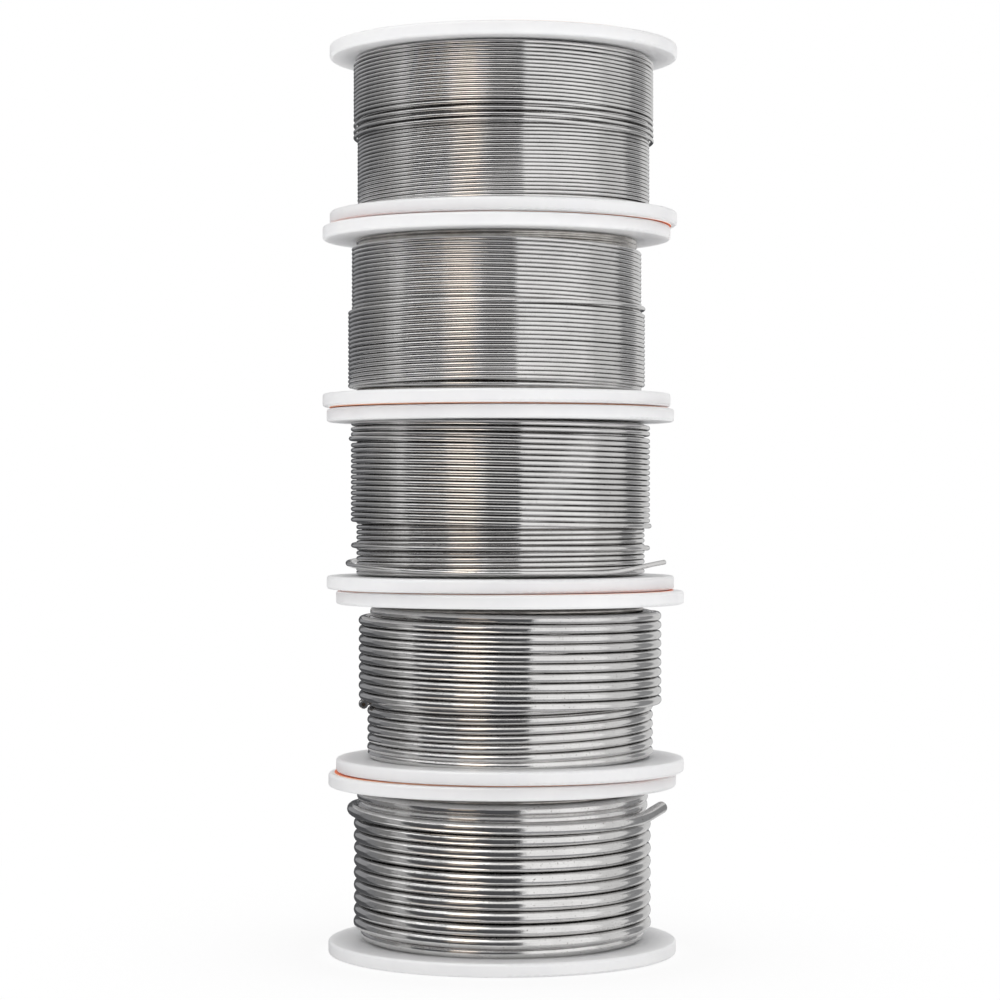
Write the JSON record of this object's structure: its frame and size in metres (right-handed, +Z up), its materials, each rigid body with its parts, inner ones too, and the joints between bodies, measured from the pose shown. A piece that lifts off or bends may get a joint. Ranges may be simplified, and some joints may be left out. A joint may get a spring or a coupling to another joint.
{
  "type": "solder wire spool",
  "caption": "Stack of flanged plastic reels wound with solder wire, from fine at the top to thick at the bottom; each reel lifts off and turns about its bore.",
  "frame": {"origin": "on the table, under the middle of the stack's bounding box", "axes": "+Z up along the bores, +X to the right and -Y towards the viewer of the picture"},
  "size_m": [0.0602, 0.0588, 0.1514],
  "materials": {
    "reel_plastic": "moulded, milky white, slightly translucent",
    "solder_wire": "drawn tin-lead solder wire, bright with fine draw marks",
    "label_paper": "orange printed paper label, matt"
  },
  "bodies": {
    "spool5": {"spool5_bottom_label": "label_paper", "spool5_lower_reel_half": "reel_plastic", "spool5_inner_wire_layers": "solder_wire", "spool5_outer_wire_layer": "solder_wire", "spool5_upper_reel_half": "reel_plastic", "spool5_top_label": "label_paper"},
    "spool4_underside": {"spool4_bottom_label": "label_paper"},
    "spool4": {"spool4_lower_reel_half": "reel_plastic", "spool4_inner_wire_layers": "solder_wire", "spool4_outer_wire_layer": "solder_wire", "spool4_upper_reel_half": "reel_plastic", "spool4_top_label": "label_paper"},
    "spool3_underside": {"spool3_bottom_label": "label_paper"},
    "spool3": {"spool3_lower_reel_half": "reel_plastic", "spool3_inner_wire_layers": "solder_wire", "spool3_outer_wire_layer": "solder_wire", "spool3_upper_reel_half": "reel_plastic", "spool3_top_label": "label_paper"},
    "spool2_underside": {"spool2_bottom_label": "label_paper"},
    "spool2": {"spool2_lower_reel_half": "reel_plastic", "spool2_inner_wire_layers": "solder_wire", "spool2_outer_wire_layer": "solder_wire", "spool2_upper_reel_half": "reel_plastic", "spool2_top_label": "label_paper"},
    "spool1_underside": {"spool1_bottom_label": "label_paper"},
    "spool1": {"spool1_lower_reel_half": "reel_plastic", "spool1_inner_wire_layers": "solder_wire", "spool1_outer_wire_layer": "solder_wire", "spool1_upper_reel_half": "reel_plastic", "spool1_top_label": "label_paper"}
  },
  "joints": [
    {"name": "spool4_lift", "type": "slide", "parent": "spool5", "child": "spool4_underside", "axis": [0, 0, 1], "range_m": [0, 0.04]},
    {"name": "spool4_turn", "type": "hinge", "parent": "spool4_underside", "child": "spool4", "pos_m": [0.00112, -0.0002, 0.03041], "axis": [0, 0, 1], "continuous": true},
    {"name": "spool3_lift", "type": "slide", "parent": "spool4", "child": "spool3_underside", "axis": [0, 0, 1], "range_m": [0, 0.04]},
    {"name": "spool3_turn", "type": "hinge", "parent": "spool3_underside", "child": "spool3", "pos_m": [-0.00047, 0.0004, 0.0607], "axis": [0, 0, 1], "continuous": true},
    {"name": "spool2_lift", "type": "slide", "parent": "spool3", "child": "spool2_underside", "axis": [0, 0, 1], "range_m": [0, 0.04]},
    {"name": "spool2_turn", "type": "hinge", "parent": "spool2_underside", "child": "spool2", "pos_m": [-0.00112, -0.0004, 0.09099], "axis": [0, 0, 1], "continuous": true},
    {"name": "spool1_lift", "type": "slide", "parent": "spool2", "child": "spool1_underside", "axis": [0, 0, 1], "range_m": [0, 0.04]},
    {"name": "spool1_turn", "type": "hinge", "parent": "spool1_underside", "child": "spool1", "pos_m": [0.00003, 0.0003, 0.12128], "axis": [0, 0, 1], "continuous": true}
  ]
}
